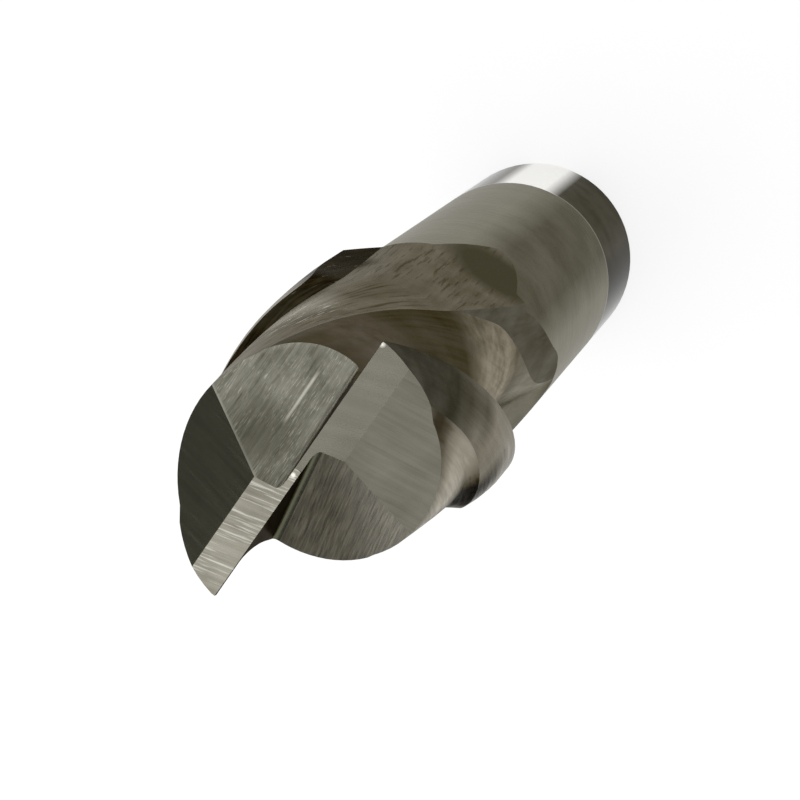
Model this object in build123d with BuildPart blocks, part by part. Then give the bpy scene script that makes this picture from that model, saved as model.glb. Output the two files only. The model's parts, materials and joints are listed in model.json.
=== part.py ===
from build123d import *
from math import asin, cos, degrees, radians, sin, sqrt, tan
import os

# Two-flute slot drill of high-speed steel, in one piece, with a plain shank.
# It stands on the end of its shank: the origin is the centre of that end face,
# +Z is the tool's axis and points to the cutting end. Tooth one starts at +X.
# Seen from the cutting end it cuts counter-clockwise, so each land trails
# clockwise from its cutting edge. Depths are measured down from the end teeth.

# Overall sizes, mm
OVERALL_LENGTH = 95.25
SHANK_DIAMETER = 19.05
CUTTING_DIAMETER = 22.225
HEAD_LENGTH = 38.1
HEAD_STEP_LENGTH = 3.3
SHANK_END_CHAMFER = 0.4

HELIX_ANGLE = 30.0

# Flute section, angles measured forward from the cutting edge. The flute leads
# the edge a little, so that the gash makes the whole end edge. Past its full
# length the wheel lifts out and the flute draws together: its rake side comes
# forward by these degrees per millimetre, its heel draws in and sinks over the
# run-out, and the flank above the heel flattens.
FLUTE_RAKE_ANGLE = -1.5
FLUTE_LEAD_ANGLE = 1.2
FLUTE_ROOT_RADIUS = 6.6
FLUTE_ROOT_FILLET = 1.5
FLUTE_BACK_RADIUS = 7.7
FLUTE_BACK_ANGLE = 47.0
FLUTE_HEEL_RADIUS = 8.3
FLUTE_HEEL_ANGLE = 77.0
FLUTE_FLANK_SLOPE = 27.0
FLUTE_FULL_LENGTH = 36.6
FLUTE_LIFT_ANGLE = 15.0
FLUTE_WHEEL_RADIUS = 60.0
FLUTE_RUN_OUT_LENGTH = 18.0
FLUTE_RUN_OUT_TURN = 0.6
FLUTE_RUN_OUT_HEEL_RADIUS = 6.75
FLUTE_RUN_OUT_HEEL_ANGLE = 16.0
FLUTE_RUN_OUT_FLANK_SLOPE = 1.0
FLUTE_FLATTENING_LENGTH = 5.0

# Body clearance behind each land, angles measured back from the cutting edge
CLEARANCE_FOOT_FRONT_RADIUS = 9.72
CLEARANCE_FOOT_BACK_RADIUS = 9.45
CLEARANCE_FOOT_FRONT_GAP = 5.5
CLEARANCE_FOOT_BACK_GAP = 10.0
CLEARANCE_MID_RADIUS = 8.95
CLEARANCE_MID_ANGLE = 72.0
CLEARANCE_HEEL_RADIUS = 8.24
CLEARANCE_HEEL_ANGLE = 101.0
CLEARANCE_RISE_ANGLE = 131.0
CLEARANCE_FULL_LENGTH = 26.2
CLEARANCE_LIFT_ANGLE = 90.0
CLEARANCE_WHEEL_RADIUS = 188.0

# Land: narrow near the end teeth, wider behind
LAND_FRONT_ANGLE = 25.0
LAND_BACK_ANGLE = 36.0
LAND_FRONT_LENGTH = 9.0
LAND_BACK_LENGTH = 22.0

# Round margin behind the edge, then the land's relief, as drops below the
# cutting radius halfway along the relief and at its end
MARGIN_FRONT_ANGLE = 1.5
MARGIN_BACK_ANGLE = 13.0
RELIEF_FRONT_MID_DROP = 0.40
RELIEF_FRONT_END_DROP = 0.95
RELIEF_BACK_MID_DROP = 0.18
RELIEF_BACK_END_DROP = 0.52

# End teeth
WEB_THICKNESS = 0.45
END_DISH_ANGLE = 1.0
END_LAND_WIDTH = 2.5
END_PRIMARY_ANGLE = 9.0
END_SECONDARY_ANGLE = 25.5
GASH_CENTRE_DEPTH = 1.25
GASH_SLOPE_ANGLE = 29.0
GASH_TILT_ANGLE = 14.5
GASH_WALL_ANGLE = 8.0
GASH_CORNER_RADIUS = 0.6

# How far a cutting body reaches past the surface it opens, and the spacing of
# the sections along a flute
CLEAR = 3.0
SECTION_STEP = 3.0

TEETH = 2
shank_radius = SHANK_DIAMETER / 2
cutting_radius = CUTTING_DIAMETER / 2
half_web = WEB_THICKNESS / 2
outside = cutting_radius + CLEAR
far = outside + CLEAR
head_back = HEAD_LENGTH + HEAD_STEP_LENGTH


def polar(radius, angle):
    """Point at this radius and angle, in degrees, of a section's own plane."""
    return (radius * cos(radians(angle)), radius * sin(radians(angle)))


def turn_at(depth):
    """Angle that the helix has turned at this depth."""
    return -degrees(depth * tan(radians(HELIX_ANGLE)) / cutting_radius)


def lift_at(depth, full_length, wheel_radius):
    """How far the round wheel has left the work beyond its full-depth length."""
    travel = min(max(0.0, depth - full_length), 0.9 * wheel_radius)
    return wheel_radius - sqrt(wheel_radius**2 - travel**2)


def travel_for(lift, wheel_radius):
    """Length over which the wheel lifts this far."""
    return sqrt(wheel_radius**2 - (wheel_radius - lift) ** 2)


def depths(last):
    """Evenly spaced depths from above the end teeth to this last one."""
    count = round((last + CLEAR) / SECTION_STEP)
    return [-CLEAR + (last + CLEAR) * step / count for step in range(count + 1)]


def section_plane(depth, turn, lift=0.0, lift_angle=0.0):
    """Plane of one section, turned by the helix and lifted with the wheel."""
    shift = polar(lift, turn + lift_angle)
    return Plane(
        origin=(shift[0], shift[1], OVERALL_LENGTH - depth),
        x_dir=(*polar(1, turn), 0),
        z_dir=(0, 0, 1),
    )


def blend(depth, near_depth, far_depth, near_value, far_value):
    """Value that changes evenly between two depths and is constant outside."""
    share = (depth - near_depth) / (far_depth - near_depth)
    share = min(max(share, 0.0), 1.0)
    return near_value + (far_value - near_value) * share


def along_land(depth, front, back):
    """Value at this depth of a size that changes while the land widens."""
    return blend(depth, LAND_FRONT_LENGTH, LAND_BACK_LENGTH, front, back)


# Turned and ground blank: plain shank, larger head with a bevelled back
with BuildPart() as blank:
    with BuildSketch(Plane.XZ):
        with BuildLine():
            Polyline(
                (0, 0),
                (shank_radius - SHANK_END_CHAMFER, 0),
                (shank_radius, SHANK_END_CHAMFER),
                (shank_radius, OVERALL_LENGTH - head_back),
                (cutting_radius, OVERALL_LENGTH - HEAD_LENGTH),
                (cutting_radius, OVERALL_LENGTH),
                (0, OVERALL_LENGTH),
                close=True,
            )
        make_face()
    revolve(axis=Axis.Z)

# Flute: flat rake face, rounded root, a back that swells out to the heel of the
# tooth ahead, and a steeper flank above the heel
rake_tilt = tan(radians(FLUTE_RAKE_ANGLE))
rake_top = (outside, (outside - cutting_radius) * rake_tilt)
rake_foot = (FLUTE_ROOT_RADIUS, (FLUTE_ROOT_RADIUS - cutting_radius) * rake_tilt)


def flute_back(beyond):
    """Back of the flute so far beyond its full length: middle, heel, flank's end."""
    left = max(0.0, 1 - beyond / FLUTE_RUN_OUT_LENGTH)
    heel_angle = FLUTE_RUN_OUT_HEEL_ANGLE
    heel_angle += (FLUTE_HEEL_ANGLE - FLUTE_RUN_OUT_HEEL_ANGLE) * left**2
    sunk = (FLUTE_HEEL_RADIUS - FLUTE_RUN_OUT_HEEL_RADIUS) * (1 - left) ** 2
    share = 1 - sunk / (FLUTE_HEEL_RADIUS - FLUTE_ROOT_RADIUS)
    back_radius = FLUTE_ROOT_RADIUS + (FLUTE_BACK_RADIUS - FLUTE_ROOT_RADIUS) * share
    back = polar(back_radius, FLUTE_BACK_ANGLE * heel_angle / FLUTE_HEEL_ANGLE)
    radius = FLUTE_HEEL_RADIUS - sunk
    heel = Vector(*polar(radius, heel_angle))
    slope = FLUTE_RUN_OUT_FLANK_SLOPE
    flatness = max(0.0, 1 - beyond / FLUTE_FLATTENING_LENGTH)
    slope += (FLUTE_FLANK_SLOPE - FLUTE_RUN_OUT_FLANK_SLOPE) * flatness
    rise = radius * sin(radians(slope))
    run = sqrt(rise**2 + outside**2 - radius**2) - rise
    return back, heel, heel + Vector(*polar(run, heel_angle + 90 - slope))


flute_last = FLUTE_FULL_LENGTH + travel_for(
    (shank_radius - FLUTE_ROOT_RADIUS) / cos(radians(FLUTE_LIFT_ANGLE)),
    FLUTE_WHEEL_RADIUS,
)

with BuildPart() as flute_cut:
    for depth in depths(flute_last):
        beyond = max(0.0, depth - FLUTE_FULL_LENGTH)
        turn = turn_at(depth - beyond) + FLUTE_LEAD_ANGLE + FLUTE_RUN_OUT_TURN * beyond
        lift = lift_at(depth, FLUTE_FULL_LENGTH, FLUTE_WHEEL_RADIUS)
        back, heel, flank_top = flute_back(beyond)
        with BuildSketch(section_plane(depth, turn, lift, FLUTE_LIFT_ANGLE)) as section:
            with BuildLine():
                Line(rake_top, rake_foot)
                ThreePointArc(rake_foot, back, heel)
                Polyline(heel, flank_top, (far, flank_top.Y), rake_top)
            make_face()
            root = section.vertices().sort_by_distance(rake_foot)[0]
            fillet(root, radius=FLUTE_ROOT_FILLET)
    loft()

# Body clearance: it leaves the land standing, falls toward the heel and opens
# into the flute behind it
mid_point = polar(CLEARANCE_MID_RADIUS, -CLEARANCE_MID_ANGLE)
heel_foot = polar(CLEARANCE_HEEL_RADIUS, -CLEARANCE_HEEL_ANGLE)
rise_point = polar(shank_radius, -CLEARANCE_RISE_ANGLE)
rise_slope = (rise_point[1] - heel_foot[1]) / (rise_point[0] - heel_foot[0])
rise_top = (-outside, heel_foot[1] - (outside + heel_foot[0]) * rise_slope)
clearance_last = CLEARANCE_FULL_LENGTH + travel_for(
    shank_radius - CLEARANCE_HEEL_RADIUS + 1, CLEARANCE_WHEEL_RADIUS
)

with BuildPart() as clearance_cut:
    for depth in depths(clearance_last):
        turn = turn_at(min(depth, CLEARANCE_FULL_LENGTH))
        lift = lift_at(depth, CLEARANCE_FULL_LENGTH, CLEARANCE_WHEEL_RADIUS)
        land = along_land(depth, LAND_FRONT_ANGLE, LAND_BACK_ANGLE)
        end_drop = along_land(depth, RELIEF_FRONT_END_DROP, RELIEF_BACK_END_DROP)
        foot_radius = along_land(
            depth, CLEARANCE_FOOT_FRONT_RADIUS, CLEARANCE_FOOT_BACK_RADIUS
        )
        gap = along_land(depth, CLEARANCE_FOOT_FRONT_GAP, CLEARANCE_FOOT_BACK_GAP)
        foot = Vector(*polar(foot_radius, -land - gap))
        corner = Vector(*polar(cutting_radius - end_drop, -land))
        wall_top = foot + (corner - foot) * 4
        with BuildSketch(section_plane(depth, turn, lift, -CLEARANCE_LIFT_ANGLE)):
            with BuildLine():
                Polyline((far, -far), wall_top, foot)
                ThreePointArc(foot, mid_point, heel_foot)
                Polyline(heel_foot, rise_top, (-outside, -far), (far, -far))
            make_face()
    loft()

# Land relief: it starts at the margin's back and drops toward the land's end
with BuildPart() as relief_cut:
    for depth in depths(head_back + 1):
        land = along_land(depth, LAND_FRONT_ANGLE, LAND_BACK_ANGLE)
        margin = along_land(depth, MARGIN_FRONT_ANGLE, MARGIN_BACK_ANGLE)
        mid_drop = along_land(depth, RELIEF_FRONT_MID_DROP, RELIEF_BACK_MID_DROP)
        end_drop = along_land(depth, RELIEF_FRONT_END_DROP, RELIEF_BACK_END_DROP)
        halfway = (margin + land) / 2
        start = polar(cutting_radius, -margin)
        lead = polar(outside, -margin)
        mid = polar(cutting_radius - mid_drop, -halfway)
        end = polar(cutting_radius - end_drop, -land)
        beyond = along_land(depth, CLEARANCE_FOOT_FRONT_GAP, CLEARANCE_FOOT_BACK_GAP)
        past = polar(cutting_radius - 1.1 * end_drop, -land - beyond / 2)
        top = polar(outside, -land - beyond / 2)
        with BuildSketch(section_plane(depth, turn_at(depth))):
            with BuildLine():
                Line(lead, start)
                ThreePointArc(start, mid, end)
                Polyline(end, past, top)
                ThreePointArc(top, polar(outside, -halfway), lead)
            make_face()
    loft()

# Primary and secondary end relief of tooth one, over its own half of the end
dish = radians(END_DISH_ANGLE)
primary = tan(radians(END_PRIMARY_ANGLE))
secondary = tan(radians(END_SECONDARY_ANGLE))
land_drop = END_LAND_WIDTH * primary
heel_drop = land_drop + (outside - END_LAND_WIDTH) * secondary
edge_turn = asin(half_web / cutting_radius)
end_plane = Plane(
    origin=(0, half_web, OVERALL_LENGTH - cutting_radius * tan(dish)),
    x_dir=(sin(edge_turn), cos(edge_turn), 0),
    z_dir=(cos(dish) * cos(edge_turn), -cos(dish) * sin(edge_turn), sin(dish)),
)
with BuildPart() as end_cut:
    with BuildSketch(end_plane):
        with BuildLine():
            Polyline(
                (CLEAR, CLEAR * primary),
                (-END_LAND_WIDTH, -land_drop),
                (-outside, -heel_drop),
                (-outside, far),
                (CLEAR, far),
                close=True,
            )
        make_face()
    extrude(amount=far)

with BuildPart() as heel_end_cut:
    with BuildSketch(end_plane):
        with BuildLine():
            Polyline(
                (-END_LAND_WIDTH, -land_drop),
                (-outside, -heel_drop),
                (-outside, far),
                (-END_LAND_WIDTH, far),
                close=True,
            )
        make_face()
    extrude(amount=-CLEAR)

# Gash: its wall makes the end cutting edge, from the corner to past the centre,
# and its floor opens the centre and falls outward into the flute
wall_lean = tan(radians(GASH_WALL_ANGLE))
floor_tilt = tan(radians(GASH_TILT_ANGLE))
floor_slope = tan(radians(GASH_SLOPE_ANGLE))
wall_normal = Vector(half_web / cutting_radius, 1, wall_lean).normalized()
floor_normal = Vector(floor_slope, floor_tilt, 1).normalized()
gash_line = wall_normal.cross(floor_normal).normalized()
gash_up = gash_line.cross(wall_normal)
gash_fall = -floor_normal.dot(wall_normal) / floor_normal.dot(gash_up)
gash_y = (half_web + wall_lean * GASH_CENTRE_DEPTH) / (1 - wall_lean * floor_tilt)
gash_z = OVERALL_LENGTH - GASH_CENTRE_DEPTH - floor_tilt * gash_y
gash_plane = Plane(origin=(0, gash_y, gash_z), x_dir=wall_normal, z_dir=gash_line)
with BuildPart() as gash_cut:
    with BuildSketch(gash_plane):
        with BuildLine():
            FilletPolyline(
                (0, outside),
                (0, 0),
                (outside, outside * gash_fall),
                radius=GASH_CORNER_RADIUS,
            )
            Polyline((outside, outside * gash_fall), (outside, outside), (0, outside))
        make_face()
    extrude(amount=outside * 2, both=True)

with BuildPart() as slot_drill:
    add(blank.part)
    with PolarLocations(0, TEETH):
        add(flute_cut.part, mode=Mode.SUBTRACT)
    with PolarLocations(0, TEETH):
        add(clearance_cut.part, mode=Mode.SUBTRACT)
    with PolarLocations(0, TEETH):
        add(relief_cut.part, mode=Mode.SUBTRACT)
    with PolarLocations(0, TEETH):
        add(end_cut.part, mode=Mode.SUBTRACT)
    with PolarLocations(0, TEETH):
        add(heel_end_cut.part, mode=Mode.SUBTRACT)
    with PolarLocations(0, TEETH):
        add(gash_cut.part, mode=Mode.SUBTRACT)

slot_drill.part.label = "Slot drill"
os.makedirs("parts", exist_ok=True)
export_step(slot_drill.part, "parts/slot_drill.step")
print("solids", len(slot_drill.part.solids()), "faces", len(slot_drill.part.faces()))
print("volume", round(slot_drill.part.volume), slot_drill.part.bounding_box())
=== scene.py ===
# %% [markdown]
# # A two-flute slot drill in ground steel
# The tool is one bar of high-speed steel. A grinding wheel has cut two helical
# flutes, the clearance behind each land, the end teeth and the gashes between
# them. The solid comes from the CAD frame, and this script gives each ground
# surface its own finish, because a cutter is recognised by the way the wheel
# has left each face: coarse in the gash, fine on the end teeth, polished at
# the end of the shank.

import json
import math

import bmesh
import bpy
from mathutils import Matrix, Vector

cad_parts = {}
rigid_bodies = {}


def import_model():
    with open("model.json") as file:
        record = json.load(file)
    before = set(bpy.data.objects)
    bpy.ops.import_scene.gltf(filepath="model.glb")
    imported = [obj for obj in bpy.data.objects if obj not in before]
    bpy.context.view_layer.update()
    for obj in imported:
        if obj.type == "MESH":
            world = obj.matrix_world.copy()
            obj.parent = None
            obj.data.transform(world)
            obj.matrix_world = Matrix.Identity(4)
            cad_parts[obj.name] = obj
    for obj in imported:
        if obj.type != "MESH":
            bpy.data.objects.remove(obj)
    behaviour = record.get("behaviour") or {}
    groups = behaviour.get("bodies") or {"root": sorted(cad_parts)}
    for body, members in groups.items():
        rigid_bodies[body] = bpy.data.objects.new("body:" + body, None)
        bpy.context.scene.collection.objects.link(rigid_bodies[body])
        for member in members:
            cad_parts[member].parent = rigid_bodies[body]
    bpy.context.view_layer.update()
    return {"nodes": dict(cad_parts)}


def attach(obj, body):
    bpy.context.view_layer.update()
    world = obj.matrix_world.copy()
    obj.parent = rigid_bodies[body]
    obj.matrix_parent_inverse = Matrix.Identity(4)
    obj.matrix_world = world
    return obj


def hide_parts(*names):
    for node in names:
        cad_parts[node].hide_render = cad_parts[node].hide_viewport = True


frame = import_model()

# %% [markdown]
# ## Sizes that the finish follows
# The finishes need to know where the surfaces are: the end of the flutes, the
# top of the polished band and how fast the helix turns. They could be read off
# the mesh, but the tool's own sizes are plainer. All are in metres.

# %% Sizes of the tool
MM = 0.001
TOOL_LENGTH = 95.25 * MM
CUTTING_RADIUS = 11.1125 * MM
HELIX_ANGLE = math.radians(30)
HELIX_TURN = math.tan(HELIX_ANGLE) / CUTTING_RADIUS
FLUTE_STRAIGHT_BELOW = TOOL_LENGTH - 36.6 * MM
CLEARANCE_STRAIGHT_BELOW = TOOL_LENGTH - 26.2 * MM
BAND_TOP = 15.4 * MM
print("the helix turns", round(math.degrees(HELIX_TURN * MM), 2), "degrees in a millimetre")

# %% [markdown]
# ## Camera
# The photograph was taken from just off the tool's axis with a long lens, so
# the end teeth face the viewer and the shank runs away to the upper right. The
# camera comes first, because every finish is judged through it. It could be
# turned by hand to fit, but its place and its two directions say it exactly.

# %% Camera
LENS = 126.2
SENSOR = 36.0
CAMERA_PLACE = (0.0642, -0.01585, 0.27693)
CAMERA_RIGHT = Vector((0.532157, -0.817266, -0.221100))
CAMERA_UP = Vector((0.795570, 0.572033, -0.199614))
CAMERA_SHIFT = (0.0023, -0.0155)


def camera_matrix(place, right, up):
    """World matrix of a camera from its place, its right and its up."""
    back = right.cross(up).normalized()
    rows = zip(right.normalized(), up.normalized(), back, place)
    return Matrix([list(row) for row in rows] + [[0, 0, 0, 1]])


scene = bpy.context.scene
scene.view_settings.view_transform = "Standard"
bpy.ops.object.camera_add()
camera = bpy.context.object
camera.name = "camera"
camera.matrix_world = camera_matrix(CAMERA_PLACE, CAMERA_RIGHT, CAMERA_UP)
camera.data.lens = LENS
camera.data.sensor_width = SENSOR
camera.data.shift_x, camera.data.shift_y = CAMERA_SHIFT
scene.camera = camera
print("camera at", [round(v * 1000, 1) for v in camera.location], "mm")

# %% [markdown]
# ## Node helpers
# Every finish is a small network of nodes on the object's own coordinates, so
# it stays with the steel when the camera moves. A painted image would need the
# tool unwrapped, and a seam would show. These helpers only add a node, fill its
# sockets and join it, which keeps the recipes below short.


# %% Adding nodes
def new_material(name):
    """A new material with its Principled shader: material, tree, shader."""
    material = bpy.data.materials.new(name)
    material.use_nodes = True
    tree = material.node_tree
    return material, tree, tree.nodes["Principled BSDF"]


def add_node(tree, kind, inputs=None, **settings):
    """A node with its settings made and its sockets filled or joined."""
    node = tree.nodes.new(kind)
    for name, value in settings.items():
        setattr(node, name, value)
    for socket, value in (inputs or {}).items():
        if isinstance(value, bpy.types.NodeSocket):
            tree.links.new(value, node.inputs[socket])
        else:
            node.inputs[socket].default_value = value
    return node


# %% Numbers
def math_node(tree, operation, first, second=0.0):
    """The result of one sum on two numbers or sockets."""
    node = add_node(tree, "ShaderNodeMath", {0: first, 1: second}, operation=operation)
    return node.outputs[0]


def both(tree, first, second):
    """A mask as strong as these two together: one times the other."""
    return math_node(tree, "MULTIPLY", first, second)


def between(tree, value, low, high, to_low=0.0, to_high=1.0):
    """A value stretched from one range to another and kept inside it."""
    inputs = {"Value": value, "From Min": low, "From Max": high}
    inputs.update({"To Min": to_low, "To Max": to_high})
    return add_node(tree, "ShaderNodeMapRange", inputs).outputs[0]


# %% Colours
MIX_SHARE, MIX_FIRST, MIX_SECOND = 0, 6, 7
MIXED_COLOUR = 2


def blend_colours(tree, share, first, second):
    """A colour between two colours or sockets."""
    inputs = {MIX_SHARE: share, MIX_FIRST: first, MIX_SECOND: second}
    return add_node(tree, "ShaderNodeMix", inputs, data_type="RGBA").outputs[MIXED_COLOUR]


def steel(red, green, blue):
    """A steel colour with its alpha, from linear values."""
    return (red, green, blue, 1.0)


# %% Scratches and fine relief
STREAK_ROUGHNESS = 0.55


def streaks(tree, vector, turn, size, detail=3.0):
    """Noise drawn out along a line: size is the reach of one streak in x, y and z."""
    mapping = add_node(
        tree,
        "ShaderNodeMapping",
        {"Vector": vector, "Rotation": (0, 0, math.radians(turn)), "Scale": size},
        vector_type="TEXTURE",
    )
    inputs = {"Vector": mapping.outputs[0], "Scale": 1.0}
    inputs.update({"Detail": detail, "Roughness": STREAK_ROUGHNESS})
    return add_node(tree, "ShaderNodeTexNoise", inputs).outputs["Fac"]


def bump(tree, shader, height, depth):
    """Fine relief: the height is in shares of this depth in metres."""
    inputs = {"Height": height, "Distance": depth, "Strength": 1.0}
    node = add_node(tree, "ShaderNodeBump", inputs)
    tree.links.new(node.outputs[0], shader.inputs["Normal"])


# %% [markdown]
# ## Floor
# The tool stands on a plain white table, and polished steel mirrors it. Under
# lamps weak enough for the steel, a matt white plane alone would look grey. More
# light would wash out the steel, so the white is mixed with a glow that only the
# camera and the mirror rays meet. The matt part still takes the tool's shadow.

# %% Floor material
FLOOR_WHITE = 0.93
FLOOR_ROUGHNESS = 0.9
FLOOR_GLOW = 0.74
FLOOR_GLOW_IN_STEEL = 0.60
FLOOR_GLOW_STRENGTH = 1.12

table_white, tree, shader = new_material("table_white")
shader.inputs["Base Color"].default_value = (FLOOR_WHITE,) * 3 + (1,)
shader.inputs["Roughness"].default_value = FLOOR_ROUGHNESS
rays = add_node(tree, "ShaderNodeLightPath").outputs
seen = both(tree, rays["Is Camera Ray"], FLOOR_GLOW)
mirrored = both(tree, rays["Is Glossy Ray"], FLOOR_GLOW_IN_STEEL)
share = math_node(tree, "MAXIMUM", seen, mirrored)
white = {"Color": (1, 1, 1, 1), "Strength": FLOOR_GLOW_STRENGTH}
glow = add_node(tree, "ShaderNodeEmission", white)
layers = {0: share, 1: shader.outputs[0], 2: glow.outputs[0]}
mixed = add_node(tree, "ShaderNodeMixShader", layers)
output = tree.nodes["Material Output"]
tree.links.new(mixed.outputs[0], output.inputs["Surface"])
print("table_white", len(tree.nodes), "nodes")

# %% Floor plane
FLOOR_SIZE = 3.0

bpy.ops.object.select_all(action="DESELECT")
bpy.ops.mesh.primitive_plane_add(size=FLOOR_SIZE, location=(0, 0, 0))
floor = bpy.context.object
floor.name = "floor"
floor.data.materials.append(table_white)
print("floor", FLOOR_SIZE, "m across")

# %% [markdown]
# ## Lamps and the room
# Flat ground faces work like mirrors, so the place of a lamp decides which of
# them shines. A sun lamp would give each face one tone, so these are large soft
# squares. The key lamp hangs over the far side: the end lands shine, and the
# secondary relief, tilted away from it, goes dark. The other two open the sides,
# and a grey room keeps what sees no lamp from going black.

# %% Lamps and the room
ROOM_GREY = 0.20
TOOL_MIDDLE = Vector((0, 0, 0.06))


def add_lamp(name, direction, distance, size, power):
    """A square soft lamp that looks at the middle of the tool."""
    place = TOOL_MIDDLE + Vector(direction).normalized() * distance
    bpy.ops.object.light_add(type="AREA", location=place)
    lamp = bpy.context.object
    lamp.name = name
    lamp.rotation_euler = (TOOL_MIDDLE - place).to_track_quat("-Z", "Y").to_euler()
    lamp.data.size = size
    lamp.data.energy = power


add_lamp("key_lamp", (-0.32, 0.20, 0.93), distance=0.8, size=0.65, power=4.2)
add_lamp("fill_lamp", (-0.36, -0.67, 0.64), distance=0.9, size=0.9, power=2.5)
add_lamp("rim_lamp", (0.56, 0.51, 0.65), distance=0.9, size=0.8, power=0.9)
room = bpy.data.worlds.new("room")
scene.world = room
room.use_nodes = True
room.node_tree.nodes["Background"].inputs[0].default_value = (ROOM_GREY,) * 3 + (1,)

# %% [markdown]
# ## The bar of steel
# The shape is the CAD solid itself, because a ground helix is exact and no
# hand modelling would come nearer. A copy is worked on. Its ground surfaces are
# still separate sheets, which helps later to pick them one by one.

# %% The ground body
tool_node = frame["nodes"]["slot_drill"]
bar = tool_node.copy()
bar.data = tool_node.data.copy()
bar.name = "ground_bar"
bar.data.name = "ground_bar"
bar.parent = None
bar.matrix_world = Matrix.Identity(4)
scene.collection.objects.link(bar)
for key in list(bar.keys()):
    del bar[key]

bpy.ops.object.select_all(action="DESELECT")
bar.select_set(True)
bpy.context.view_layer.objects.active = bar
bar.data.materials.clear()
print("bar", len(bar.data.vertices), "points", len(bar.data.polygons), "faces")

# %% [markdown]
# ## Where a finish lies
# Each face of the tool was ground by its own pass of a wheel, and the scratches
# run the way that the wheel moved: round the shank, along the helix in the
# flutes, across the end lands. So the noise is read at the point on the tool
# itself, or at that point turned back along the helix, where the scratches of a
# flute are straight lines and need no unwrapping.


# %% Points of the tool
def object_place(tree):
    """The point on the tool itself, in metres."""
    return add_node(tree, "ShaderNodeTexCoord").outputs["Object"]


def height_of(tree):
    """How high the point is above the standing end, in metres."""
    return add_node(tree, "ShaderNodeSeparateXYZ", {0: object_place(tree)}).outputs[2]


def untwisted(tree, straight_below=0.0):
    """The point turned back along the helix, so that scratches follow it."""
    height = math_node(tree, "MAXIMUM", height_of(tree), straight_below)
    depth = math_node(tree, "SUBTRACT", TOOL_LENGTH, height)
    angle = math_node(tree, "MULTIPLY", depth, HELIX_TURN)
    inputs = {"Vector": object_place(tree), "Angle": angle}
    node = add_node(tree, "ShaderNodeVectorRotate", inputs, rotation_type="Z_AXIS")
    return node.outputs[0]


# %% [markdown]
# ## Masks
# Wear, stains and burn marks are patches on the steel, not pieces of their own.
# Each one is a mask: a number that is one where the patch is and none elsewhere.
# It can grow round a point, toward one side, in clouds or along single
# scratches, and two masks multiplied are a third. Distances are in millimetres.


# %% Masks by place
def near(tree, centre, reach):
    """One round this point, fading to none between the two distances of reach."""
    inner, outer = (distance * MM for distance in reach)
    inputs = {0: object_place(tree), 1: Vector(centre) * MM}
    away = add_node(tree, "ShaderNodeVectorMath", inputs, operation="DISTANCE")
    return between(tree, away.outputs["Value"], inner, outer, 1.0, 0.0)


def facing(tree, azimuth):
    """How far the point reaches out toward this azimuth in degrees, in metres."""
    angle = math.radians(azimuth)
    inputs = {0: object_place(tree), 1: (math.cos(angle), math.sin(angle), 0)}
    node = add_node(tree, "ShaderNodeVectorMath", inputs, operation="DOT_PRODUCT")
    return node.outputs["Value"]


def toward(tree, azimuth, reach, shares=(0.0, 1.0)):
    """A mask that changes between two distances out toward this azimuth."""
    start, end = (distance * MM for distance in reach)
    return between(tree, facing(tree, azimuth), start, end, *shares)


def beside_line(tree, azimuth, offset, reach, shares):
    """A mask by the distance to a line this far out, on either side of it."""
    start, end = (distance * MM for distance in reach)
    distance = math_node(tree, "SUBTRACT", facing(tree, azimuth), offset * MM)
    distance = math_node(tree, "ABSOLUTE", distance)
    return between(tree, distance, start, end, *shares)


# %% Masks by noise
MARK_DETAIL = 4.0
SCRATCH_FADE = 0.10


def scratches(tree, vector, turn, lines, limit):
    """Single lines of this reach in x, y and z: the higher the limit, the fewer."""
    size = [value * MM for value in lines]
    noise = streaks(tree, vector, turn, size, MARK_DETAIL)
    return between(tree, noise, limit, limit + SCRATCH_FADE)


def cloud_noise(tree, size):
    """Soft noise with patches of about this size."""
    return streaks(tree, object_place(tree), 0, (size * MM,) * 3, MARK_DETAIL)


def clouds(tree, size, limits, shares=(0.0, 1.0)):
    """Soft patches: noise between two limits becomes a mask between two shares."""
    return between(tree, cloud_noise(tree, size), *limits, *shares)


# %% [markdown]
# ## The worn steel recipe
# Ground steel is one bare metal, so its finishes differ only in how dark it has
# tarnished, how fine the scratches are and which way they run. One recipe takes
# these and draws the same noise into colour, roughness and relief. Bare metal
# turns paler at a slant, so the recipe sets that colour too. A tint then lays a
# darker or brighter colour over it wherever a mask says.

# %% Steel seen at a slant
GRAZING_FLOOR = 0.20
GRAZING_GAIN = 2.2


def slant_colour(colour):
    """What a steel colour reflects at a slant, where every metal turns paler."""
    return steel(*[min(1.0, GRAZING_FLOOR + GRAZING_GAIN * v) for v in colour[:3]])


# %% The worn steel recipe
BROAD_STREAKS = 3.1
BROAD_DETAIL = 2.0
TARNISH_SIZE = 3.5
TONE_LIMITS = (1.1, 1.9)
GRAIN_LIMITS = (0.3, 0.7)


def ground_steel(name, vector_of, lines, turn, dark, light, rough, relief):
    """Steel scratched along one line; lines and relief are in millimetres."""
    material, tree, shader = new_material(name)
    vector = vector_of(tree)
    size = [value * MM for value in lines]
    fine = streaks(tree, vector, turn, size)
    broad_size = [value * BROAD_STREAKS for value in size]
    broad = streaks(tree, vector, turn, broad_size, BROAD_DETAIL)
    tone = math_node(tree, "ADD", fine, broad)
    tone = math_node(tree, "ADD", tone, cloud_noise(tree, TARNISH_SIZE))
    tone = between(tree, tone, *TONE_LIMITS)
    colour = blend_colours(tree, tone, dark, light)
    tree.links.new(colour, shader.inputs["Base Color"])
    roughness = between(tree, fine, *GRAIN_LIMITS, *rough)
    tree.links.new(roughness, shader.inputs["Roughness"])
    shader.inputs["Metallic"].default_value = 1.0
    middle = steel(*[(a + b) / 2 for a, b in zip(dark[:3], light[:3])])
    shader.inputs["Specular Tint"].default_value = slant_colour(middle)
    bump(tree, shader, fine, relief * MM)
    return material


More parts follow.
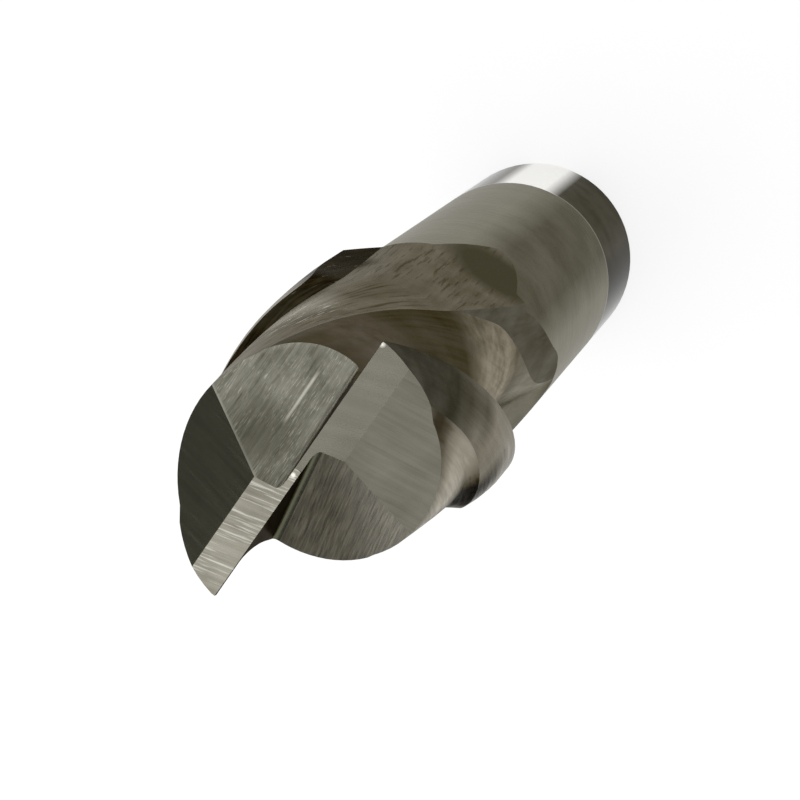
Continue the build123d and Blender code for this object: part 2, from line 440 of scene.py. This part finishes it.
# %% Tints and patches
def tint(material, mask, colour):
    """Lay another colour over a finish where the mask is one, at a slant too."""
    tree = material.node_tree
    sockets = tree.nodes["Principled BSDF"].inputs
    for name, above in (("Specular Tint", slant_colour(colour)), ("Base Color", colour)):
        socket = sockets[name]
        below = socket.links[0].from_socket if socket.is_linked else socket.default_value[:]
        tree.links.new(blend_colours(tree, mask, below, above), socket)


def patch(material, centre, reach, colour, share=1.0):
    """Another colour round one point, in full or by a share or a mask."""
    tree = material.node_tree
    tint(material, both(tree, near(tree, centre, reach), share), colour)


def tell(material):
    """Print how many nodes a finish took."""
    print(material.name, len(material.node_tree.nodes), "nodes")


# %% [markdown]
# ## Shank
# The shank was ground round and round, which leaves fine rings about the axis. The noise is
# therefore short along the axis and very long across it. The steel has dulled in soft
# mottles, and its two sides are painted paler, a painted reflection, by a mask on how far
# the point stands out to either side. A lamp there would also light the head, so the
# reflection is painted into the finish and stays in place as the view turns.

# %% Shank
SIDE_REFLECTION_AZIMUTH = 70
SIDE_REFLECTION_REACH = (2.8, 5.8)
SIDE_REFLECTION_SHARES = (0.0, 0.62)
MOTTLE_SIZE = 5.0

shank_steel = ground_steel(
    "shank_steel",
    object_place,
    lines=(60, 60, 0.12),
    turn=0,
    dark=steel(0.112, 0.106, 0.083),
    light=steel(0.156, 0.150, 0.122),
    rough=(0.24, 0.36),
    relief=0.0012,
)
tree = shank_steel.node_tree
mottled = clouds(tree, MOTTLE_SIZE, limits=(0.35, 0.65), shares=(0.0, 0.8))
tint(shank_steel, mottled, steel(0.098, 0.092, 0.072))
# painted reflection: the two sides of the shank are painted paler
painted_side_reflection = beside_line(tree, SIDE_REFLECTION_AZIMUTH, 0, SIDE_REFLECTION_REACH, SIDE_REFLECTION_SHARES)
tint(shank_steel, painted_side_reflection, steel(0.240, 0.232, 0.195))
tell(shank_steel)

# %% [markdown]
# ## Polished band
# The lowest 15 mm of the shank is polished and has tarnished darker, with stains, a thin
# pale line along its top, a painted shade on its under side and one very bright stripe that
# is a painted reflection. A ring of its own would be a second piece of steel, and the real
# one is the same round surface. So it is a mask by height, and every mark on it is
# multiplied by that mask. The stripe and the dark under side are a reflection and shade on
# the real tool. Here they are painted into the colour, so they stay in place as the view
# turns.

# %% Polished band
BAND_FADE = 0.1 * MM
BAND_LINE_START = 0.45 * MM
BAND_LINE_END = 0.3 * MM
STAIN_SIZE = 3.2

height = height_of(tree)
in_band = between(tree, height, BAND_TOP - BAND_FADE, BAND_TOP, 1.0, 0.0)
tint(shank_steel, in_band, steel(0.075, 0.070, 0.056))
stains = clouds(tree, STAIN_SIZE, limits=(0.42, 0.64), shares=(0.0, 0.6))
tint(shank_steel, both(tree, stains, in_band), steel(0.050, 0.047, 0.036))
# painted shade: the under side of the band is painted darker
painted_shade_under_side = toward(tree, azimuth=-85, reach=(6.8, 8.8))
tint(shank_steel, both(tree, painted_shade_under_side, in_band), steel(0.018, 0.017, 0.012))
band_line = between(tree, height, BAND_TOP - BAND_LINE_START, BAND_TOP - BAND_LINE_END)
tint(shank_steel, both(tree, band_line, in_band), steel(0.190, 0.185, 0.160))
# painted reflection: a bright stripe painted into the band's colour
painted_reflection_stripe = toward(tree, azimuth=24, reach=(8.95, 9.36))
tint(shank_steel, both(tree, painted_reflection_stripe, in_band), steel(1.0, 0.99, 0.94))
tell(shank_steel)

# %% Smoother steel in the band
BAND_SMOOTHER = -0.22

roughness = tree.nodes["Principled BSDF"].inputs["Roughness"]
smoother = both(tree, in_band, BAND_SMOOTHER)
smoother = math_node(tree, "ADD", roughness.links[0].from_socket, smoother)
tree.links.new(smoother, roughness)
tell(shank_steel)

# %% [markdown]
# ## Flutes
# A flute is cut along the helix, and so its scratches follow it. It has gone
# dark, and is lighter near the run-out, in a spot below the teeth and at the
# root low down. A painted map could hold these, but each is only a patch round
# one point, broken up by clouds where the real one has no clear edge.


# %% Flutes
WORN_RUN_OUT = (5.4, -5.8, 61.5)
LIGHT_SPOT = (7.4, 1.8, 84.0)
GREY_ROOT = (0.5, -8.3, 48.5)
FLUTE_CLOUD_SIZE = 2.2


def along_flute(tree):
    """The point untwisted as far down as the flute has its full depth."""
    return untwisted(tree, FLUTE_STRAIGHT_BELOW)


flute_steel = ground_steel(
    "flute_steel",
    along_flute,
    lines=(0.45, 0.45, 9),
    turn=0,
    dark=steel(0.056, 0.050, 0.037),
    light=steel(0.115, 0.106, 0.082),
    rough=(0.26, 0.42),
    relief=0.004,
)
tree = flute_steel.node_tree
cloud = clouds(tree, FLUTE_CLOUD_SIZE, limits=(0.35, 0.6), shares=(0.35, 1.0))
patch(flute_steel, WORN_RUN_OUT, (3.5, 9.0), steel(0.240, 0.218, 0.175), cloud)
patch(flute_steel, LIGHT_SPOT, (2.0, 7.0), steel(0.125, 0.110, 0.090), cloud)
patch(flute_steel, GREY_ROOT, (4.5, 10.0), steel(0.190, 0.180, 0.148))
tell(flute_steel)

# %% [markdown]
# ## Flute run-out
# Where the wheel left the flute it has swept out a dark crescent. The wheel was
# lifting by then and not turning with the helix, so its scratches run straight
# and the noise is read at the point itself, not untwisted.

# %% Flute run-out
crescent_steel = ground_steel(
    "crescent_steel",
    object_place,
    lines=(0.4, 0.4, 4),
    turn=0,
    dark=steel(0.078, 0.072, 0.058),
    light=steel(0.148, 0.140, 0.117),
    rough=(0.26, 0.40),
    relief=0.004,
)
tell(crescent_steel)

# %% [markdown]
# ## Front wall of the clearance of tooth two
# Behind each land the steel drops into the clearance by a steep wall. On tooth two this
# wall lies in shade, so it is painted nearly black, a painted shade, with a few bright
# painted glints. On tooth one it is as light as the rest. Darkening the whole clearance
# would spoil tooth one, so the wall of tooth two alone gets a finish of its own.

# %% Front wall of the clearance of tooth two
clearance_wall_shade_steel = ground_steel(
    "clearance_wall_shade_steel",
    untwisted,
    lines=(0.3, 0.3, 3),
    turn=0,
    dark=steel(0.030, 0.027, 0.018),
    light=steel(0.075, 0.069, 0.052),
    rough=(0.26, 0.42),
    relief=0.006,
)
tree = clearance_wall_shade_steel.node_tree
# painted glints: short bright marks over the painted shade of the wall
painted_wall_glints = scratches(tree, untwisted(tree), turn=0, lines=(0.30, 0.30, 2.0), limit=0.65)
tint(clearance_wall_shade_steel, painted_wall_glints, steel(0.170, 0.158, 0.128))
tell(clearance_wall_shade_steel)

# %% [markdown]
# ## Clearance
# The clearance was roughed out with a coarse wheel, which left deep dark gouges and, low
# down, a smooth foot where the wheel ran out. It is the largest surface of the head and the
# least even. One noise would look too regular, so gouges are drawn over it, and then
# patches that follow the real tool. Among them are short bright dashes that are painted
# glints, and a dark patch under the edge of the land that is painted shadow.


# %% Clearance and its gouges
GOUGE_SHARE = 0.5


def along_clearance(tree):
    """The point untwisted as far down as the clearance has its full depth."""
    return untwisted(tree, CLEARANCE_STRAIGHT_BELOW)


clearance_steel = ground_steel(
    "clearance_steel",
    along_clearance,
    lines=(0.30, 0.30, 5),
    turn=0,
    dark=steel(0.088, 0.079, 0.058),
    light=steel(0.205, 0.191, 0.155),
    rough=(0.26, 0.45),
    relief=0.010,
)
tree = clearance_steel.node_tree
vector = along_clearance(tree)
gouges = scratches(tree, vector, turn=0, lines=(0.30, 0.30, 4.5), limit=0.56)
tint(clearance_steel, both(tree, gouges, GOUGE_SHARE), steel(0.055, 0.049, 0.034))
tell(clearance_steel)

# %% Patches of the clearance
SMOOTH_FOOT = (8.9, -1.0, 52.5)
PALE_PLACE = (3.5, -9.0, 86.5)
FRONT_SIDE = (3.1, 8.7, 76.8)
GLINT_PLACE = (3.4, 8.4, 79.5)
SMOKED_CORNER = (7.9, -6.0, 92.1)
SMOKED_SHARE = 0.8
BACK_CORNER = (4.7, 9.2, 61.5)
SHADOW_UNDER_EDGE = (-0.8, -10.2, 76.0)

patch(clearance_steel, SMOOTH_FOOT, (3.2, 5.6), steel(0.092, 0.086, 0.066))
patch(clearance_steel, PALE_PLACE, (2.5, 6.0), steel(0.290, 0.270, 0.230))
patch(clearance_steel, FRONT_SIDE, (1.5, 5.0), steel(0.270, 0.255, 0.215))
# painted glints: bright dashes on the front of the clearance
painted_glints = scratches(tree, vector, turn=0, lines=(0.14, 0.14, 1.8), limit=0.58)
patch(clearance_steel, GLINT_PLACE, (2.5, 6.0), steel(0.560, 0.540, 0.470), painted_glints)
smoked_steel = steel(0.050, 0.044, 0.034)
patch(clearance_steel, SMOKED_CORNER, (0.6, 2.8), smoked_steel, SMOKED_SHARE)
patch(clearance_steel, BACK_CORNER, (1.2, 3.2), steel(0.030, 0.028, 0.018))
# painted shadow under the edge of the land
patch(clearance_steel, SHADOW_UNDER_EDGE, (2.5, 6.0), steel(0.025, 0.022, 0.016))
tell(clearance_steel)

# %% [markdown]
# ## Lands
# The lands carry the cutting edges and are ground finest. The land of tooth one is burnt
# nearly black beside its tip and grows paler down the helix. A colour that runs along the
# height would show on both lands alike, so the burn, two darker spots below it and the two
# dark ends are patches round points. The dark end under the edge is painted shadow.

# %% Lands
BURN_BESIDE_TIP = (10.6, -2.8, 91.0)
BURNT_SPOTS = ((8.4, -6.9, 85.6), (7.6, -8.0, 82.4))
LAND_BACK_CORNER = (4.7, 9.2, 62.5)
LAND_SHADOW_UNDER_EDGE = (-0.8, -10.4, 76.0)
LAND_CLOUD_SIZE = 2.5
SPOT_SHARE = 0.62

land_steel = ground_steel(
    "land_steel",
    untwisted,
    lines=(0.35, 0.35, 6),
    turn=0,
    dark=steel(0.115, 0.106, 0.086),
    light=steel(0.265, 0.248, 0.210),
    rough=(0.20, 0.34),
    relief=0.003,
)
tree = land_steel.node_tree
cloud = clouds(tree, LAND_CLOUD_SIZE, limits=(0.3, 0.6), shares=(0.82, 1.0))
patch(land_steel, BURN_BESIDE_TIP, (4.5, 9.5), steel(0.072, 0.070, 0.060), cloud)
for spot in BURNT_SPOTS:
    patch(land_steel, spot, (0.3, 3.0), steel(0.062, 0.058, 0.047), SPOT_SHARE)
patch(land_steel, LAND_BACK_CORNER, (4.0, 8.0), steel(0.022, 0.020, 0.012))
# painted shadow under the edge of the land
patch(land_steel, LAND_SHADOW_UNDER_EDGE, (2.0, 5.0), steel(0.030, 0.027, 0.020))
tell(land_steel)

# %% [markdown]
# ## End lands
# The end teeth were reground one by one, so the two sides differ: the end land of tooth two
# is bright with cross lines, and that of tooth one is smooth. Each gets its own finish,
# scratched along one line of the end's flat plane, so the noise needs no untwisting and is
# only turned to the line's angle. Two tiny bright spots are painted glints, one at the tip
# and one at the web.

# %% End land of tooth one
CROSS_LINES = -73
TIP_OF_TOOTH_ONE = (10.95, -0.05, 95.2)
GLINT_BRIGHT = steel(0.420, 0.412, 0.370)

land_one_steel = ground_steel(
    "end_land_one_steel",
    object_place,
    lines=(5, 0.35, 5),
    turn=CROSS_LINES,
    dark=steel(0.088, 0.084, 0.068),
    light=steel(0.116, 0.112, 0.092),
    rough=(0.24, 0.32),
    relief=0.001,
)
# painted glint at the tip of tooth one
patch(land_one_steel, TIP_OF_TOOTH_ONE, (0.05, 0.30), GLINT_BRIGHT)
tell(land_one_steel)

# %% End land of tooth two
WEB = (-0.5, 0.1, 95.0)

land_two_steel = ground_steel(
    "end_land_two_steel",
    object_place,
    lines=(5, 0.15, 5),
    turn=CROSS_LINES,
    dark=steel(0.076, 0.072, 0.057),
    light=steel(0.140, 0.135, 0.112),
    rough=(0.20, 0.34),
    relief=0.003,
)
tree = land_two_steel.node_tree
bright = scratches(tree, object_place(tree), CROSS_LINES, lines=(4, 0.15, 4), limit=0.55)
tint(land_two_steel, bright, steel(0.200, 0.196, 0.174))
# painted glint at the web
patch(land_two_steel, WEB, (0.03, 0.24), GLINT_BRIGHT)
tell(land_two_steel)

# %% [markdown]
# ## End heels
# Behind each end land the heel, the secondary relief, slopes away steeply. The
# heel of tooth two sees the least light and looks smoother. They could share one
# finish, but side by side the eye finds such a copy at once.

# %% End heels
HEEL_LINES = -91

heel_one_steel = ground_steel(
    "end_heel_one_steel",
    object_place,
    lines=(4, 0.18, 4),
    turn=HEEL_LINES,
    dark=steel(0.125, 0.120, 0.094),
    light=steel(0.190, 0.182, 0.148),
    rough=(0.24, 0.34),
    relief=0.003,
)
tell(heel_one_steel)
heel_two_steel = ground_steel(
    "end_heel_two_steel",
    object_place,
    lines=(5, 0.30, 5),
    turn=HEEL_LINES,
    dark=steel(0.115, 0.115, 0.082),
    light=steel(0.145, 0.143, 0.104),
    rough=(0.22, 0.28),
    relief=0.001,
)
tell(heel_two_steel)

# %% [markdown]
# ## Gash of tooth one
# A gash is the notch that opens the end between the two teeth. This one was ground coarsest
# of all and sparkles. Real facets would need a very fine mesh, so very short bright
# scratches over strong relief stand for them, and their sparkle is painted glints. The rim
# is paler, and the low side is darker with painted shade. A thin painted highlight runs
# along the edge toward the heel of tooth two, and one long scratch runs straight across.

# %% Gash of tooth one
GASH_ONE_LINES = 2
SPARKLE_CLOUD_SIZE = 1.6

gash_one_steel = ground_steel(
    "gash_one_steel",
    object_place,
    lines=(1.5, 0.09, 1.5),
    turn=GASH_ONE_LINES,
    dark=steel(0.140, 0.135, 0.100),
    light=steel(0.450, 0.438, 0.362),
    rough=(0.26, 0.46),
    relief=0.010,
)
tree = gash_one_steel.node_tree
place = object_place(tree)
cloud = clouds(tree, SPARKLE_CLOUD_SIZE, limits=(0.40, 0.62), shares=(0.1, 1.0))
# painted glints: short bright scratches stand for the sparkle of facets
painted_sparkle = scratches(tree, place, GASH_ONE_LINES, lines=(0.9, 0.05, 0.5), limit=0.56)
tint(gash_one_steel, both(tree, painted_sparkle, cloud), steel(0.850, 0.830, 0.720))
tell(gash_one_steel)

# %% Rim, painted edge highlight, scratch and shaded low side of that gash
PALE_RIM = (5.6, 5.0, 89.7)
RIM_SHARE = 0.45
SCRATCH_AZIMUTH = 92
SCRATCH_OFFSET = 2.85
SCRATCH_ENDS = ((1.2, 1.8), (5.4, 4.6))
SHADED_LOW_SIDE = (-0.2, 3.6, 93.2)
SHADED_LOW_SIDE_SHARE = 0.6

rim_cloud = both(tree, cloud, RIM_SHARE)
patch(gash_one_steel, PALE_RIM, (2.0, 4.8), steel(0.560, 0.545, 0.460), rim_cloud)
# painted highlight along the edge toward the heel of tooth two
painted_edge_highlight = toward(tree, azimuth=-22.4, reach=(-3.0, -2.86), shares=(0.8, 0.0))
tint(gash_one_steel, painted_edge_highlight, steel(0.520, 0.510, 0.430))
scratch = beside_line(tree, SCRATCH_AZIMUTH, SCRATCH_OFFSET, (0.04, 0.16), (1.0, 0.0))
for end in SCRATCH_ENDS:
    scratch = both(tree, scratch, toward(tree, azimuth=0, reach=end))
tint(gash_one_steel, scratch, steel(0.800, 0.780, 0.680))
# painted shade on the low side of the gash
low_side_shade = steel(0.120, 0.115, 0.080)
patch(gash_one_steel, SHADED_LOW_SIDE, (1.2, 3.8), low_side_shade, SHADED_LOW_SIDE_SHARE)
tell(gash_one_steel)

# %% [markdown]
# ## Gash of tooth two and the gash walls
# The other gash is finer, with little sparkle. It is painted darker toward its inner side
# and paler toward its outer side, as shade and light fall on it, so its finish is a plain
# one with a mask toward that side. The narrow wall that each gash leaves under the end
# cutting edge lies in shade and is painted nearly black. It is the same on both teeth, so
# one finish does for the two.

# %% Gash of tooth two and the gash walls
GASH_TWO_LINES = 6

gash_two_steel = ground_steel(
    "gash_two_steel",
    object_place,
    lines=(2.0, 0.12, 2.0),
    turn=GASH_TWO_LINES,
    dark=steel(0.165, 0.149, 0.113),
    light=steel(0.285, 0.264, 0.206),
    rough=(0.26, 0.46),
    relief=0.006,
)
tree = gash_two_steel.node_tree
# painted light and shade: the gash is paler toward its outer side
painted_light_side = toward(tree, azimuth=-57, reach=(1.8, 6.0), shares=(0.0, 0.85))
tint(gash_two_steel, painted_light_side, steel(0.560, 0.525, 0.440))
tell(gash_two_steel)
# painted shade: the gash walls are painted nearly black
gash_wall_shade_steel = ground_steel(
    "gash_wall_shade_steel",
    object_place,
    lines=(1.2, 0.2, 1.2),
    turn=GASH_ONE_LINES,
    dark=steel(0.040, 0.036, 0.028),
    light=steel(0.070, 0.064, 0.050),
    rough=(0.26, 0.40),
    relief=0.002,
)
tell(gash_wall_shade_steel)

# %% [markdown]
# ## Giving each surface its finish
# The copy still has every ground surface as its own sheet of faces. Picking
# faces by their number would break as soon as the solid changes. Instead a ray
# is sent at each surface, and selecting what is linked to the face that it meets
# picks the whole surface. Tooth two is tooth one turned by half a turn, so a ray
# serves both teeth, and where their finishes differ it is turned to one of them.


# %% Rays at the surfaces
FAR_OUT = 30
ABOVE_THE_END = 130
BELOW_THE_FOOT = -30


def around(radius, azimuth, height):
    """A point by radius and height in millimetres and azimuth in degrees."""
    angle = math.radians(azimuth)
    return Vector((radius * math.cos(angle), radius * math.sin(angle), height)) * MM


def inward(azimuth, height):
    """A ray from outside to the tool's axis."""
    return around(FAR_OUT, azimuth, height), around(-1, azimuth, 0)


def down(azimuth, radius):
    """A ray from above the end teeth, along the axis."""
    return around(radius, azimuth, ABOVE_THE_END), Vector((0, 0, -1))


def across(start, target):
    """A ray from one point to another."""
    return start, target - start


# %% Covering surfaces
TOOTH_ONE = 0
TOOTH_TWO = 180
BOTH_TEETH = (TOOTH_ONE, TOOTH_TWO)


def cover(finish, rays, teeth=BOTH_TEETH):
    """Give this finish to the whole surfaces that the rays meet, on each tooth."""
    bar.data.materials.append(finish)
    bar.active_material_index = len(bar.data.materials) - 1
    for polygon in bar.data.polygons:
        polygon.select = False
    for turn in teeth:
        turned = Matrix.Rotation(math.radians(turn), 3, "Z")
        for origin, direction in rays:
            met, _, _, number = bar.ray_cast(turned @ origin, turned @ direction)
            if met:
                bar.data.polygons[number].select = True
    bpy.ops.object.mode_set(mode="EDIT")
    bpy.ops.mesh.select_linked(delimit=set())
    bpy.ops.object.material_slot_assign()
    bpy.ops.object.mode_set(mode="OBJECT")
    print(finish.name, sum(p.select for p in bar.data.polygons), "faces")


FACES_ONLY = (False, False, True)
bpy.context.tool_settings.mesh_select_mode = FACES_ONLY

# %% Lands and shank
LOOK_HEIGHT = 75
EDGE_AZIMUTH = -math.degrees(HELIX_TURN * (TOOL_LENGTH - LOOK_HEIGHT * MM))


def beside_edge(angle):
    """A ray inward, this many degrees ahead of the cutting edge of tooth one."""
    return inward(EDGE_AZIMUTH + angle, LOOK_HEIGHT)


relieved_land = beside_edge(-16)
round_margin = beside_edge(-0.8)
head_bevel = inward(63, 55.5)
cover(land_steel, [relieved_land, round_margin, head_bevel])

shank_side = inward(0, 20)
shank_chamfer = inward(0, 0.2)
standing_end = (around(1, 0, BELOW_THE_FOOT), Vector((0, 0, 1)))
cover(shank_steel, [shank_side, shank_chamfer, standing_end])

# %% Flutes and clearance
RAKE_RADIUS = 9.5

flute_front = beside_edge(3.5)
flute_back = beside_edge(45)
inside_flute = around(RAKE_RADIUS, EDGE_AZIMUTH + 30, LOOK_HEIGHT)
under_edge = around(RAKE_RADIUS, EDGE_AZIMUTH, LOOK_HEIGHT)
flute_rake = across(inside_flute, under_edge)
cover(flute_steel, [flute_front, flute_back, flute_rake])
crescent = inward(-51, 51.5)
cover(crescent_steel, [crescent])

clearance_wall = beside_edge(-38)
clearance_floor = beside_edge(-75)
clearance_run_out = inward(-10, 53.3)
cover(clearance_steel, [clearance_wall, clearance_floor, clearance_run_out])
# the wall of tooth two gets its painted shade
cover(clearance_wall_shade_steel, [clearance_wall], [TOOTH_TWO])

# %% End teeth
end_land = down(-10, 6)
end_heel = down(-49, 7)
gash_floor = down(62, 4.6)
gash_foot = down(14.5, 2.8)
gash_wall = across(around(7, 45, 93.7), around(4.6, 0, 93.7))

cover(gash_wall_shade_steel, [gash_wall])
cover(land_one_steel, [end_land], [TOOTH_ONE])
cover(heel_one_steel, [end_heel], [TOOTH_ONE])
cover(gash_one_steel, [gash_floor, gash_foot], [TOOTH_ONE])
cover(land_two_steel, [end_land], [TOOTH_TWO])
cover(heel_two_steel, [end_heel, gash_foot], [TOOTH_TWO])
cover(gash_two_steel, [gash_floor], [TOOTH_TWO])

# %% [markdown]
# ## Joining the sheets
# On the real tool the surfaces are one skin, and they meet in sharp ground
# edges. The sheets are merged where their borders touch, and smoothed. An Edge
# Split modifier would cut the skin apart again, so an edge is only marked sharp
# where the steel turns by more than a few degrees or the finish changes.

# %% Join the sheets
MERGE_DISTANCE = 1e-6
EDGE_ANGLE = math.radians(9)

bpy.ops.object.mode_set(mode="EDIT")
bpy.ops.mesh.select_all(action="SELECT")
bpy.ops.mesh.customdata_custom_splitnormals_clear()
bpy.ops.mesh.remove_doubles(threshold=MERGE_DISTANCE)
bpy.ops.object.mode_set(mode="OBJECT")
bpy.ops.object.shade_smooth_by_angle(angle=EDGE_ANGLE)
print("joined bar", len(bar.data.vertices), "points")

# %% Keep the edges between finishes sharp
mesh = bmesh.new()
mesh.from_mesh(bar.data)
for border in mesh.edges:
    if len({face.material_index for face in border.link_faces}) > 1:
        border.smooth = False
print("sharp edges", sum(not border.smooth for border in mesh.edges))
mesh.to_mesh(bar.data)
mesh.free()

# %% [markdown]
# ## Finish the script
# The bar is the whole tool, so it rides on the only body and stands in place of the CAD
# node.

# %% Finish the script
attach(bar, "root")
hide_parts("slot_drill")
